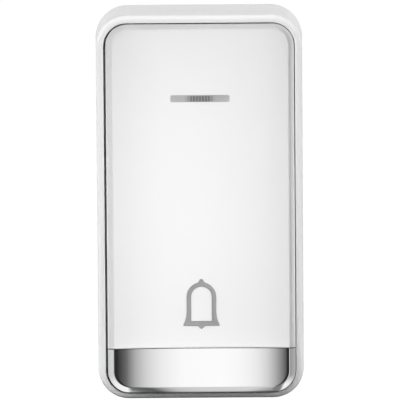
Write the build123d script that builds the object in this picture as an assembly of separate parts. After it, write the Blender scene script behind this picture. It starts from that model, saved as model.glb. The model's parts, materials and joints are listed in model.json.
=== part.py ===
"""Self-powered wireless doorbell push button, in millimetres.

A visitor presses the lower end of the front panel.  The panel turns on a pin near its top
and drives a sealed plunger, which tips the lever of a small snap generator.  The pulse
from its coil feeds a radio transmitter and two indicator lamps, so there is no battery.

X is to the visitor's right, +Y points into the wall and +Z up.  The origin is the centre
of the face that meets the wall.  Every "depth" is a distance from the wall, so a depth of
25 lies at Y = -25.  The panel's parts are drawn pressed home and then swung out to rest.
"""

import os
from math import radians, sin

from build123d import *

# Case: outline at the back edge, depths of the back edge and of the front rim, walls
CASE_W, CASE_H, CASE_R = 45.0, 83.5, 7.0
CASE_BACK, RIM = 1.0, 25.0
DRAFT = 1.0
RIM_ROUND = 1.0
LIP_WALL, MAIN_WALL = 1.2, 2.3
FLOOR_BACK, FLOOR_FRONT = 17.0, 18.5

# Well in the front of the case, in which the panel rocks
WELL_W, WELL_R = 41.0, 5.0
WELL_BOTTOM, WELL_TOP = -40.2, 39.75
BOOT_HOLE_R = 4.2
GUIDE_HOLE_W, GUIDE_HOLE_H = 10.2, 2.2

# Panel, drawn pressed home
PANEL_GAP = 0.35
PANEL_TILT, PANEL_PLAY = 1.5, 0.14
SKIRT_BACK, CARRIER_BACK, CARRIER_FRONT = 20.4, 22.6, 24.2
SKIRT_WALL = 1.2
STAKE_X, STAKE_Z, STAKE_R, STAKE_HEAD_R, STAKE_HEAD = 6.0, -35.2, 0.8, 1.4, 0.6
FILM_THICK = 0.15
FACE_TOP, FACE_CROWN_R = 26.8, 180.0
BEVEL_IN, BEVEL_DEEP = 1.25, 0.7
SEAM_Z, SEAM_GAP, SEAM_R = -30.1, 0.14, 740.0

# Hinge pin of the panel
HINGE_Z, HINGE_DEPTH, HINGE_R, HINGE_CLEAR = 35.5, 20.6, 0.8, 0.05
KNUCKLE_R = 1.7
EAR_X, EAR_W = 12.0, 3.0
KNUCKLES = ((7.6, 10.2), (13.8, 16.4))
HINGE_HALF = 17.2

# Light slot and bell emblem
SLOT_W, SLOT_H, SLOT_Z, SLOT_R = 12.6, 1.5, 23.4, 0.35
WINDOW_FLANGE_W, WINDOW_FLANGE_H, WINDOW_FLANGE = 14.4, 3.0, 0.8
RIB_PITCH, RIB_GROOVE, RIB_DEEP, RIBS_EACH_SIDE = 0.64, 0.3, 0.25, 8
BELL_Z, FOIL_THICK = -20.7, 0.08

# Bell, about its own middle: dome, straight sides, flare, knob above and clapper below
DOME_Z, DOME_R, BELL_STROKE = 1.46, 3.17, 0.98
MOUTH_Z, MOUTH_HALF, LIP_Z, WAIST_Z = -4.81, 3.87, -4.5, -1.51
FLARE_MIDDLE = (3.43, -3.2)
SILL = 1.08
KNOB_R, KNOB_RISE = 0.43, 0.28
KNOB_FOOT = ((-0.83, 4.35), (0.83, 4.35), (0.36, 5.15), (-0.36, 5.15))
CLAPPER_R, CLAPPER_DROP = 0.3, 0.33
CLAPPER_NECK = ((-0.22, -5.34), (0.22, -5.34), (0.81, -4.75), (-0.81, -4.75))

# Plunger, boot and return springs
PUSH_Z = -21.0
PLUNGER_R, PLUNGER_HEAD_R = 2.0, 3.0
PLUNGER_IN, PLUNGER_NECK, PLUNGER_OUT = 16.45, 19.6, 21.0
PUSH_RIB_R, PUSH_DOME_R = 2.2, 6.0
TOUCH_GAP = 0.05
BOOT_FLANGE_R, BOOT_FLANGE = 6.0, 19.1
SPRING_X, SPRING_Z, SPRING_R, SPRING_WIRE, SPRING_TURNS = 13.0, -33.0, 2.0, 0.5, 5
SPRING_SEAT, SPRING_SLACK = 0.03, 0.12
STOP_R, STOP_DEPTH = 1.3, 20.5

# Catch that keeps the panel from swinging out past rest
CATCH_HALF, CATCH_POST_Z, CATCH_LEG_Z = 3.0, -37.9, -35.4
CATCH_WALL, CATCH_BAR, CATCH_REACH, CATCH_DEPTH, CATCH_THICK = 0.8, 0.6, 1.5, 21.15, 0.7

# Rear cover, its screws and the hook pockets
COVER_BACK, COVER_FRONT, COVER_GAP = 3.4, 5.0, 0.15
GASKET_INSET, GASKET_THICK = 0.25, 0.6
BOSS_X, BOSS_Z, BOSS_R, BOSS_END = 16.0, 34.8, 2.5, 6.2
BOSSES = [(x, z) for x in (BOSS_X, -BOSS_X) for z in (BOSS_Z, -BOSS_Z)]
CUP_R, CUP_HOLE_R = 3.0, 2.15
SCREW_R, SCREW_HEAD_R, SCREW_TIP = 1.1, 1.95, 13.0
SCREW_TOP, SCREW_RECESS, SCREW_SEAT = 3.6, 4.3, 4.9
CROSS_LONG, CROSS_WIDE = 2.2, 0.5
HOOK_X, HOOK_W = 14.5, 3.8
HOOK_ZS = (22.0, -22.0)
HOOK_STEM, HOOK_TIP = 2.0, 2.8
HOOK_BACK, HOOK_FRONT = 5.2, 6.4
POCKET_ROOM, POCKET_FRONT, POCKET_WALL = 7.0, 8.0, 0.9
LIFT = 5.2

# Wall bracket and its adhesive pad
PAD_THICK, BRACKET_FRONT = 0.8, 2.6
BRACKET_W, BRACKET_LOW, BRACKET_HIGH, BRACKET_R = 36.0, -34.8, 37.0, 5.0
WALL_HOLE_R, WALL_HOLE_SPACING = 1.9, 45.0
SINK_R, SINK_DEEP, SINK_ANGLE = 3.0, 1.1, 45.0
KEY_HOLE_R = 3.2
PAD_W, PAD_H, PAD_R = 28.0, 30.0, 2.0

# Circuit board
BOARD_BACK, BOARD_FRONT = 7.0, 8.0
BOARD_W, BOARD_LOW, BOARD_HIGH = 22.6, -27.0, 35.0
POSTS = ((8.8, -24.6), (-8.8, -24.6), (8.8, 32.6), (-8.8, 32.6))
POST_R, POST_HOLE_R = 2.0, 0.82

# Pairing key, its stem and its switch
PAIR_Z = 30.0
KEY_R, KEY_FLANGE_R, KEY_BACK, KEY_FLANGE, KEY_FRONT = 1.75, 2.5, 3.2, 5.1, 5.7
STEM_R, STEM_BACK, STEM_FRONT = 0.9, 5.75, 6.55
SWITCH_HALF, SWITCH_BACK, SWITCH_BORE = 2.3, 6.2, 6.9

# Generator: the lever is drawn at rest, swung forward
LEVER_Z, LEVER_DEPTH, AXLE_R = 5.0, 12.8, 0.75
CORE_DEPTH, CORE_THICK, CORE_W = 12.9, 1.5, 5.0
ARM_IN, ARM_OUT = 8.0, 9.2
MAGNET_HALF, MAGNET_LOW, MAGNET_HIGH = 4.0, -20.0, -17.9
MAGNET_BACK, MAGNET_FRONT = 12.0, 15.0
POLE_THICK, POLE_TIP = 0.8, -14.5
BASE_HALF, BASE_LOW, BASE_HIGH, BASE_FRONT = 7.6, -10.5, 8.0, 9.2
BOBBIN_LOW, BOBBIN_HIGH, FLANGE = -13.5, 1.5, 1.0
BOBBIN_W, BOBBIN_DEEP, FLANGE_W, FLANGE_DEEP = 6.4, 2.9, 10.8, 6.4
WINDING_W, WINDING_DEEP, WINDING_R = 9.8, 5.6, 1.8
SHOE_LOW, SHOE_BACK, SHOE_FRONT = -23.0, 11.2, 15.8

# Antenna: a spring beside the board
ANTENNA_R, ANTENNA_WIRE, ANTENNA_LONG, ANTENNA_TURNS = 2.0, 0.5, 15.0, 9
ANTENNA_X, ANTENNA_DEPTH, ANTENNA_LOW, ANTENNA_PAD_X = -15.2, 11.4, -5.0, -10.4


def at(depth):
    """The plane at a depth, facing the visitor, with X right and Z up."""
    return Plane.XZ.offset(depth)


def slab(outline, start, end, x=0.0, z=0.0):
    """An outline moved to (x, z) and carried from one depth to another."""
    return extrude(at(start) * (Pos(x, z) * outline), end - start)


def rod(radius, start, end, x=0.0, z=0.0):
    """A round post along the depth."""
    return slab(Circle(radius), start, end, x, z)


def cross_rod(radius, x0, x1, depth, z):
    """A round bar along X."""
    return extrude(Plane.YZ.offset(x0) * (Pos(-depth, z) * Circle(radius)), x1 - x0)


def block(x0, x1, z0, z1, start, end):
    """A rectangular block between two X, two Z and two depths."""
    return slab(Rectangle(x1 - x0, z1 - z0), start, end, (x0 + x1) / 2, (z0 + z1) / 2)


def inset(amount, extra=0.0):
    """The case's outline drawn in by an amount; extra rounds the corners less."""
    radius = CASE_R - amount - extra
    return RectangleRounded(CASE_W - 2 * amount, CASE_H - 2 * amount, radius)


def both_sides(shape):
    """A shape and its mirror image across the middle."""
    return [shape, mirror(shape, about=Plane.YZ)]


def coil(radius, wire, turns, height):
    """Round wire wound in a helix that rises along local Z."""
    path = Helix(pitch=height / turns, height=height, radius=radius)
    start = Plane(path @ 0, z_dir=path % 0)
    return sweep(start * Circle(wire / 2), path=path, is_frenet=True)


def swung_out(shape):
    """The panel's rest place: turned out about the hinge pin, slid along it by its play."""
    hinge = Axis((0, -HINGE_DEPTH, HINGE_Z), (1, 0, 0))
    return Pos(PANEL_PLAY, 0, 0) * shape.rotate(hinge, -PANEL_TILT)


def swing_at(z):
    """How far the panel stands out at a height, compared with pressed home."""
    return (HINGE_Z - z) * sin(radians(PANEL_TILT))


# ---- Case -------------------------------------------------------------------------------


def well_outline(margin=0.0):
    """The well's outline, drawn in by a margin."""
    width = WELL_W - 2 * margin
    height = WELL_TOP - WELL_BOTTOM - 2 * margin
    middle = (WELL_TOP + WELL_BOTTOM) / 2
    return Pos(0, middle) * RectangleRounded(width, height, WELL_R - margin)


def hinge_ear():
    """A bearing ear on the well's floor that holds the hinge pin."""
    left, right = EAR_X - EAR_W / 2, EAR_X + EAR_W / 2
    ear = cross_rod(KNUCKLE_R, left, right, HINGE_DEPTH, HINGE_Z)
    ear += block(left, right, HINGE_Z - KNUCKLE_R, HINGE_Z + KNUCKLE_R, FLOOR_FRONT, HINGE_DEPTH)
    return ear - cross_rod(HINGE_R, left - 1, right + 1, HINGE_DEPTH, HINGE_Z)


def gasket_outline():
    """The flat ring that the gasket fills, between the case's two wall lines."""
    return inset(LIP_WALL + GASKET_INSET) - inset(MAIN_WALL - GASKET_INSET)


def main_housing():
    """Drafted shell: the panel's well in front, and the chamber for the works behind."""
    shell = extrude(at(CASE_BACK) * inset(0), RIM - CASE_BACK, taper=DRAFT)
    shell = fillet(shell.faces().sort_by(Axis.Y)[0].edges(), RIM_ROUND)
    shell -= slab(well_outline(), FLOOR_FRONT, RIM + 1)
    shell -= slab(inset(LIP_WALL), CASE_BACK - 1, COVER_FRONT)
    shell -= slab(inset(MAIN_WALL), COVER_FRONT, FLOOR_BACK)
    shell -= slab(gasket_outline(), COVER_FRONT, COVER_FRONT + GASKET_THICK)
    for x, z in BOSSES:
        shell += rod(BOSS_R, BOSS_END, FLOOR_BACK, x, z)
        shell -= rod(SCREW_R + 0.02, BOSS_END, SCREW_TIP + 1, x, z)
    shell -= rod(BOOT_HOLE_R, FLOOR_BACK, FLOOR_FRONT, 0, PUSH_Z)
    shell -= slab(Rectangle(GUIDE_HOLE_W, GUIDE_HOLE_H), FLOOR_BACK, FLOOR_FRONT, 0, SLOT_Z)
    for ear in both_sides(hinge_ear()):
        shell += ear
    for stop in both_sides(rod(STOP_R, FLOOR_FRONT, STOP_DEPTH, SPRING_X, SPRING_Z)):
        shell += stop
    low, mid, high = CATCH_POST_Z, CATCH_POST_Z + CATCH_WALL, CATCH_POST_Z + 2 * CATCH_WALL
    front = CATCH_DEPTH + CATCH_THICK
    shell += block(-CATCH_HALF, CATCH_HALF, low, mid, FLOOR_FRONT, front)
    return shell + block(-CATCH_HALF, CATCH_HALF, mid, high, CATCH_DEPTH, front)


def case_gasket():
    """Flat silicone ring in the groove that the rear cover closes."""
    return slab(gasket_outline(), COVER_FRONT, COVER_FRONT + GASKET_THICK)


def hook_pocket(z):
    """Blind pocket in the rear cover: its outer box, and the room that a hook needs."""
    low, high = z - LIFT - 0.3, z + HOOK_STEM + HOOK_TIP + 0.6
    half = HOOK_W / 2 + 0.2
    left, right = HOOK_X - half - POCKET_WALL, HOOK_X + half + POCKET_WALL
    box = block(left, right, low - 1, high + 1, COVER_FRONT, POCKET_FRONT)
    slot = block(HOOK_X - half, HOOK_X + half, low, z + HOOK_STEM + 0.1, COVER_BACK, COVER_FRONT)
    room = block(HOOK_X - half, HOOK_X + half, low, high, COVER_FRONT, POCKET_ROOM)
    return box, slot + room


def rear_cover():
    """Inset back plate with hook pockets, screw cups, board posts and the pairing hole."""
    cover = slab(inset(LIP_WALL + COVER_GAP), COVER_BACK, COVER_FRONT)
    for x, z in BOSSES:
        cover += rod(CUP_R, COVER_FRONT, BOSS_END, x, z)
        cover -= rod(CUP_HOLE_R, COVER_BACK, SCREW_SEAT, x, z)
        cover -= rod(SCREW_R + 0.15, SCREW_SEAT, BOSS_END, x, z)
    for x, z in POSTS:
        cover += rod(POST_R, COVER_FRONT, BOARD_BACK, x, z)
        cover -= rod(POST_HOLE_R, COVER_FRONT + 0.3, BOARD_BACK, x, z)
    for z in HOOK_ZS:
        box, room = hook_pocket(z)
        for solid in both_sides(box):
            cover += solid
        for solid in both_sides(room):
            cover -= solid
    return cover - rod(KEY_R + COVER_GAP, COVER_BACK, COVER_FRONT, 0, PAIR_Z)


def case_screws():
    """Four self-tapping pan-head screws, driven from the back."""
    screws = []
    for x, z in BOSSES:
        screw = rod(SCREW_HEAD_R, SCREW_TOP, SCREW_SEAT, x, z) + rod(SCREW_R, SCREW_SEAT, SCREW_TIP, x, z)
        for size in ((CROSS_LONG, CROSS_WIDE), (CROSS_WIDE, CROSS_LONG)):
            screw -= slab(Rectangle(*size), SCREW_TOP, SCREW_RECESS, x, z)
        screws.append(screw)
    return screws


def hinge_pin():
    """Steel pin that the panel turns on, pressed into the case's two ears."""
    return cross_rod(HINGE_R, -HINGE_HALF, HINGE_HALF, HINGE_DEPTH, HINGE_Z)


def return_springs():
    """Two compression springs under the panel's lower corners."""
    start = FLOOR_FRONT + SPRING_WIRE / 2 + SPRING_SEAT
    end = CARRIER_BACK + swing_at(SPRING_Z) - SPRING_WIRE / 2 - SPRING_SLACK
    spring = at(start) * coil(SPRING_R, SPRING_WIRE, SPRING_TURNS, end - start)
    return [Pos(x, 0, SPRING_Z) * spring for x in (-SPRING_X, SPRING_X)]


def seal_boot():
    """Silicone diaphragm round the plunger, clamped to the well's floor."""
    collar, under_head = PLUNGER_R + TOUCH_GAP, PLUNGER_NECK - TOUCH_GAP
    section = [
        (BOOT_FLANGE_R, FLOOR_FRONT),
        (BOOT_FLANGE_R, BOOT_FLANGE),
        (5.0, BOOT_FLANGE),
        (3.9, under_head),
        (collar, under_head),
        (collar, BOOT_FLANGE),
        (3.7, BOOT_FLANGE),
        (4.4, FLOOR_FRONT),
    ]
    outline = Polygon(*[(r, depth) for r, depth in section], align=None)
    turned = revolve(Plane.XY * outline, Axis.Y, 360)
    return Pos(0, 0, PUSH_Z) * mirror(turned, about=Plane.XZ)


def light_guide():
    """Clear bar that carries the lamps' light through the well's floor."""
    guide = slab(Rectangle(GUIDE_HOLE_W - 0.1, GUIDE_HOLE_H - 0.1), FLOOR_BACK, 20.2, 0, SLOT_Z)
    guide += slab(Rectangle(GUIDE_HOLE_W + 2.2, GUIDE_HOLE_H + 1.8), FLOOR_BACK - 1.0, FLOOR_BACK, 0, SLOT_Z)
    return guide + slab(Rectangle(8.0, 2.4), 9.6, FLOOR_BACK - 1.0, 0, SLOT_Z)


# ---- Panel ------------------------------------------------------------------------------


def panel_outline(margin=0.0):
    """The panel's outline, drawn in by a margin."""
    return well_outline(PANEL_GAP + margin)


def face_block(start):
    """Crowned and bevelled front block of the panel, from a depth outwards."""
    front = slab(panel_outline(), start, FACE_TOP + 1)
    crown = Pos(0, FACE_CROWN_R - FACE_TOP) * Circle(FACE_CROWN_R)
    front &= extrude(Plane.XY.offset(-CASE_H) * crown, 2 * CASE_H)
    rim = front.faces().sort_by(Axis.Y)[0]
    return chamfer(rim.edges(), BEVEL_DEEP, BEVEL_IN, reference=rim)


def seam_tool(high):
    """Everything below a height, topped by the seam's slow arch."""
    return slab(Circle(SEAM_R), 0, FACE_TOP + 2, 0, high - SEAM_R)


def above_seam(shape):
    """The part of a shape above the seam between the clear panel and the chrome trim."""
    return shape - seam_tool(SEAM_Z + SEAM_GAP / 2)


def below_seam(shape):
    """The part of a shape below the seam."""
    return shape & seam_tool(SEAM_Z - SEAM_GAP / 2)


def bell_outline():
    """A plain hand-bell: domed, flared at the mouth, with a knob above and a clapper below."""
    crown = DOME_Z + DOME_R
    right = Line((0, MOUTH_Z), (MOUTH_HALF, MOUTH_Z))
    right += Line((MOUTH_HALF, MOUTH_Z), (MOUTH_HALF, LIP_Z))
    right += ThreePointArc((MOUTH_HALF, LIP_Z), FLARE_MIDDLE, (DOME_R, WAIST_Z))
    right += Line((DOME_R, WAIST_Z), (DOME_R, DOME_Z))
    right += CenterArc((0, DOME_Z), DOME_R, 0, 90)
    right += Line((0, crown), (0, MOUTH_Z))
    half = make_face(right)
    bell = half + mirror(half, about=Plane.YZ)
    bell += Pos(0, crown + KNOB_RISE) * Circle(KNOB_R)
    bell += Polygon(*KNOB_FOOT, align=None)
    bell += Pos(0, MOUTH_Z - CLAPPER_DROP) * Circle(CLAPPER_R)
    bell += Polygon(*CLAPPER_NECK, align=None)
    inner_r, sill_z = DOME_R - BELL_STROKE, MOUTH_Z + SILL
    bell -= Pos(0, DOME_Z) * Circle(inner_r)
    return bell - Pos(0, (DOME_Z + sill_z) / 2) * Rectangle(2 * inner_r, DOME_Z - sill_z)


def bell_icon():
    """Silver foil emblem, stamped into a shallow pocket in the back of the clear panel."""
    start = CARRIER_FRONT + FILM_THICK
    return slab(bell_outline(), start, start + FOIL_THICK, 0, BELL_Z)


def clear_panel():
    """Clear acrylic face above the seam, with the emblem's pocket in its back."""
    return above_seam(face_block(CARRIER_FRONT + FILM_THICK)) - bell_icon()


def backing_film():
    """White film behind the clear panel, open at the light slot."""
    film = above_seam(slab(panel_outline(), CARRIER_FRONT, CARRIER_FRONT + FILM_THICK))
    return film - slab(RectangleRounded(SLOT_W, SLOT_H, SLOT_R), CARRIER_FRONT, RIM, 0, SLOT_Z)


def chrome_trim():
    """Plated end piece below the seam, staked to the carrier at two points."""
    trim = below_seam(face_block(CARRIER_FRONT))
    for x in (-STAKE_X, STAKE_X):
        trim += rod(STAKE_R, CARRIER_BACK, CARRIER_FRONT, x, STAKE_Z)
        trim += rod(STAKE_HEAD_R, CARRIER_BACK - STAKE_HEAD, CARRIER_BACK, x, STAKE_Z)
    return trim


def knuckle(x0, x1):
    """A bearing knuckle of the carrier, hung from its back."""
    part = cross_rod(KNUCKLE_R, x0, x1, HINGE_DEPTH, HINGE_Z)
    return part + block(x0, x1, HINGE_Z - KNUCKLE_R, HINGE_Z + KNUCKLE_R, HINGE_DEPTH, CARRIER_BACK)


def panel_carrier():
    """White tray that carries the face, with knuckles, push rib, stops and a catch."""
    tray = slab(panel_outline(), CARRIER_BACK, CARRIER_FRONT)
    tray += slab(panel_outline() - panel_outline(SKIRT_WALL), SKIRT_BACK, CARRIER_BACK)
    slot = RectangleRounded(SLOT_W + 0.1, SLOT_H + 0.1, SLOT_R + 0.05)
    tray -= slab(slot, CARRIER_BACK, CARRIER_FRONT, 0, SLOT_Z)
    for x0, x1 in KNUCKLES:
        for part in both_sides(knuckle(x0, x1)):
            tray += part
    bore = HINGE_R + HINGE_CLEAR
    tray -= cross_rod(bore, -HINGE_HALF - 0.2, HINGE_HALF + 0.2, HINGE_DEPTH, HINGE_Z)
    tip = PLUNGER_OUT - swing_at(PUSH_Z) + TOUCH_GAP
    dome = Pos(0, -tip - PUSH_DOME_R, PUSH_Z) * Sphere(PUSH_DOME_R)
    tray += rod(PUSH_RIB_R, tip, CARRIER_BACK, 0, PUSH_Z) & dome
    for stop in both_sides(rod(STOP_R, STOP_DEPTH + TOUCH_GAP, CARRIER_BACK, SPRING_X, SPRING_Z)):
        tray += stop
    low, high = CATCH_LEG_Z, CATCH_LEG_Z + CATCH_WALL
    hook_end = CATCH_DEPTH - TOUCH_GAP - swing_at(low - CATCH_REACH)
    tray += block(-CATCH_HALF, CATCH_HALF, low, high, hook_end - CATCH_BAR, CARRIER_BACK)
    tray += block(-CATCH_HALF, CATCH_HALF, low - CATCH_REACH, low, hook_end - CATCH_BAR, hook_end)
    for x in (-STAKE_X, STAKE_X):
        tray -= rod(STAKE_R + TOUCH_GAP, CARRIER_BACK, CARRIER_FRONT, x, STAKE_Z)
    return tray


def light_window():
    """Frosted bar in the light slot, with upright ribs across the middle of its face."""
    bar = slab(RectangleRounded(SLOT_W, SLOT_H, SLOT_R), CARRIER_BACK, CARRIER_FRONT, 0, SLOT_Z)
    flange = Rectangle(WINDOW_FLANGE_W, WINDOW_FLANGE_H)
    bar += slab(flange, CARRIER_BACK - WINDOW_FLANGE, CARRIER_BACK, 0, SLOT_Z)
    for k in range(-RIBS_EACH_SIDE, RIBS_EACH_SIDE + 1):
        groove = Rectangle(RIB_GROOVE, SLOT_H + 1)
        bar -= slab(groove, CARRIER_FRONT - RIB_DEEP, CARRIER_FRONT, k * RIB_PITCH, SLOT_Z)
    return bar


# ---- Plunger and pairing key ------------------------------------------------------------


def plunger():
    """Push pin between the panel and the generator lever, round at its inner end."""
    pin = rod(PLUNGER_HEAD_R, PLUNGER_NECK, PLUNGER_OUT, 0, PUSH_Z)
    pin += rod(PLUNGER_R, PLUNGER_IN + PLUNGER_R, PLUNGER_NECK, 0, PUSH_Z)
    return pin + Pos(0, -PLUNGER_IN - PLUNGER_R, PUSH_Z) * Sphere(PLUNGER_R)


def pairing_button():
    """Recessed key in the rear cover that pairs the button with its chime."""
    return rod(KEY_R, KEY_BACK, KEY_FLANGE, 0, PAIR_Z) + rod(KEY_FLANGE_R, KEY_FLANGE, KEY_FRONT, 0, PAIR_Z)


def pairing_plunger():
    """Stem of the pairing switch."""
    return rod(STEM_R, STEM_BACK, STEM_FRONT, 0, PAIR_Z)


def pairing_switch():
    """Body of the pairing switch, on the back of the board."""
    low, high = PAIR_Z - SWITCH_HALF, PAIR_Z + SWITCH_HALF
    body = block(-SWITCH_HALF, SWITCH_HALF, low, high, SWITCH_BACK, BOARD_BACK)
    return body - rod(STEM_R + TOUCH_GAP, SWITCH_BACK, SWITCH_BORE, 0, PAIR_Z)


# ---- Generator --------------------------------------------------------------------------


def generator_frame():
    """Moulded base of the generator with two ears for the lever's axle."""
    frame = block(-BASE_HALF, BASE_HALF, BASE_LOW, BASE_HIGH, BOARD_FRONT, BASE_FRONT)
    frame += block(-4.0, 4.0, BASE_LOW - 5.0, BASE_LOW, BOARD_FRONT, BASE_FRONT)
    ear_r, left, right = 2.1, 5.7, 7.4
    for side in both_sides(block(left, right, LEVER_Z - ear_r, LEVER_Z + ear_r, BASE_FRONT, LEVER_DEPTH)):
        frame += side
    for side in both_sides(cross_rod(ear_r, left, right, LEVER_DEPTH, LEVER_Z)):
        frame += side
    return frame - cross_rod(AXLE_R, -BASE_HALF, BASE_HALF, LEVER_DEPTH, LEVER_Z)


def iron_core():
    """Soft-iron bar through the coil, with a heel that stands on the frame."""
    low, high = CORE_DEPTH - CORE_THICK / 2, CORE_DEPTH + CORE_THICK / 2
    tip, heel = -17.2, 3.4
    bar = block(-CORE_W / 2, CORE_W / 2, tip, heel, low, high)
    return bar + block(-CORE_W / 2, CORE_W / 2, heel - 1.4, heel, BASE_FRONT, low)


def along_coil(width, depth, z0, z1):
    """A box centred on the core, between two heights."""
    return block(-width / 2, width / 2, z0, z1, CORE_DEPTH - depth / 2, CORE_DEPTH + depth / 2)


def coil_bobbin():
    """Nylon bobbin: a tube on the core with a flange at each end."""
    bobbin = along_coil(BOBBIN_W, BOBBIN_DEEP, BOBBIN_LOW, BOBBIN_HIGH)
    bobbin += along_coil(FLANGE_W, FLANGE_DEEP, BOBBIN_LOW, BOBBIN_LOW + FLANGE)
    bobbin += along_coil(FLANGE_W, FLANGE_DEEP, BOBBIN_HIGH - FLANGE, BOBBIN_HIGH)
    return bobbin - along_coil(CORE_W + 0.1, CORE_THICK + 0.1, BOBBIN_LOW, BOBBIN_HIGH)


def coil_winding():
    """The copper winding as one rounded pack between the bobbin's flanges."""
    low, high = BOBBIN_LOW + FLANGE, BOBBIN_HIGH - FLANGE
    pack = along_coil(WINDING_W, WINDING_DEEP, low, high)
    pack = fillet(pack.edges().filter_by(Axis.Z), WINDING_R)
    return pack - along_coil(BOBBIN_W, BOBBIN_DEEP, low, high)


def coil_leads():
    """The coil's two enamelled ends, bent from the lower flange down to the board."""
    lead_r, bend_r, depth, z = 0.15, 0.5, 10.5, BOBBIN_LOW + FLANGE / 2
    leads = []
    for side in (-1, 1):
        start, bend = (side * FLANGE_W / 2, -depth, z), (side * (FLANGE_W / 2 + 1.0), -depth, z)
        path = FilletPolyline(start, bend, (bend[0], -BOARD_FRONT, z), radius=bend_r)
        leads.append(sweep(Plane(path @ 0, z_dir=path % 0) * Circle(lead_r), path=path))
    return leads


def generator_lever():
    """Moulded lever: two arms, a cradle for the magnet, a push pad and a spring bar."""
    arm_back, arm_front, arm_end = 11.3, 14.3, 7.0
    bar_low, bar_high, bar_back, bar_front = 3.2, 4.8, 15.1, 16.0
    lever = block(-ARM_OUT, ARM_OUT, SHOE_LOW, MAGNET_HIGH, SHOE_BACK, SHOE_FRONT)
    lever -= block(-MAGNET_HALF, MAGNET_HALF, MAGNET_LOW, MAGNET_HIGH, SHOE_BACK, SHOE_FRONT)
    for arm in both_sides(block(ARM_IN, ARM_OUT, SHOE_LOW, arm_end, arm_back, arm_front)):
        lever += arm
    for lug in both_sides(block(ARM_IN, ARM_OUT, bar_low, bar_high, arm_front, bar_front)):
        lever += lug
    lever += block(-ARM_OUT, ARM_OUT, bar_low, bar_high, bar_back, bar_front)
    lever += rod(1.9, SHOE_FRONT, PLUNGER_IN - TOUCH_GAP, 0, PUSH_Z)
    return lever - cross_rod(AXLE_R + 0.03, -ARM_OUT, ARM_OUT, LEVER_DEPTH, LEVER_Z)


def magnet():
    """Neodymium block clamped between the pole plates."""
    return block(-MAGNET_HALF, MAGNET_HALF, MAGNET_LOW, MAGNET_HIGH, MAGNET_BACK, MAGNET_FRONT)


def pole_plates():
    """Two steel plates on the magnet's faces, which reach past the core's tip."""
    plates = []
    for start in (MAGNET_BACK - POLE_THICK, MAGNET_FRONT):
        plates.append(block(-MAGNET_HALF, MAGNET_HALF, MAGNET_LOW, POLE_TIP, start, start + POLE_THICK))
    return plates


def lever_axle():
    """Steel pin that the generator lever swings on."""
    return cross_rod(AXLE_R, -10.2, 10.2, LEVER_DEPTH, LEVER_Z)


def lever_spring():
    """Torsion spring round the axle, with one leg on the frame and one on the lever."""
    turns, length, radius, wire = 6, 4.0, 1.15, 0.35
    base = Plane((-length / 2, -LEVER_DEPTH, LEVER_Z), x_dir=(0, 0, -1), z_dir=(1, 0, 0))
    spring = base * coil(radius, wire, turns, length)
    leg_x, leg_z = length / 2 - 0.03, LEVER_Z - radius
    spring += rod(wire / 2, LEVER_DEPTH - 0.2, 15.05, -leg_x, leg_z)
    return spring + rod(wire / 2, 9.3, LEVER_DEPTH + 0.2, leg_x, leg_z)


# ---- Board ------------------------------------------------------------------------------


def circuit_board():
    """Transmitter board with its four screw holes."""
    board = block(-BOARD_W / 2, BOARD_W / 2, BOARD_LOW, BOARD_HIGH, BOARD_BACK, BOARD_FRONT)
    board = fillet(board.edges().filter_by(Axis.Y), 1.0)
    for x, z in POSTS:
        board -= rod(1.0, BOARD_BACK, BOARD_FRONT, x, z)
    return board


def board_screws():
    """Four small screws that hold the board to the rear cover's posts."""
    shank_r, head_r, tip, top, cut = 0.8, 1.6, 5.6, 9.1, 0.5
    screws = []
    for x, z in POSTS:
        screw = rod(shank_r, tip, BOARD_FRONT, x, z) + rod(head_r, BOARD_FRONT, top, x, z)
        screws.append(screw - slab(Rectangle(1.9, 0.4), top - cut, top, x, z))
    return screws


def transmitter_chip():
    """Radio chip with four leads on each side."""
    left, right, low, high, top = -6.5, -2.6, 13.5, 18.5, 9.4
    lead_pitch, lead_long, lead_half, lead_top = 1.27, 1.1, 0.2, 8.3
    chip = block(left, right, low, high, BOARD_FRONT + 0.1, top)
    for k in range(4):
        z = low + 0.6 + k * lead_pitch
        for x in (left - lead_long, right):
            chip += block(x, x + lead_long, z - lead_half, z + lead_half, BOARD_FRONT, lead_top)
    return chip


def crystal():
    """Metal-can crystal that sets the radio frequency."""
    can = block(2.4, 5.6, 15.0, 17.5, BOARD_FRONT, 8.8)
    return fillet(can.edges().filter_by(Axis.Y), 0.4)


def rectifier_diodes():
    """Four diodes that rectify the coil's pulse."""
    return [block(x, x + 2.6, 10.0, 11.6, BOARD_FRONT, 9.1) for x in (-8.6, -4.1, 1.5, 6.0)]


def storage_capacitor():
    """Capacitor that holds the pulse while the radio sends."""
    x, z, radius, foot, top = 7.2, 24.4, 2.5, 0.6, 14.0
    can = rod(radius, BOARD_FRONT + foot, top, x, z)
    return can + slab(Rectangle(5.2, 5.2), BOARD_FRONT, BOARD_FRONT + foot, x, z)


def chip_resistors():
    """Small surface-mounted parts beside the radio chip."""
    places = [(8.2, 14.0), (8.2, 16.0), (8.2, 18.0), (2.8, 19.6), (5.2, 19.6), (-9.6, 15.0)]
    return [block(x, x + 1.6, z, z + 0.8, BOARD_FRONT, 8.5) for x, z in places]


def status_leds():
    """Two lamps under the light guide."""
    return [slab(Rectangle(2.0, 1.6), BOARD_FRONT, 9.3, x, SLOT_Z) for x in (-2.2, 2.2)]


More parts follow.
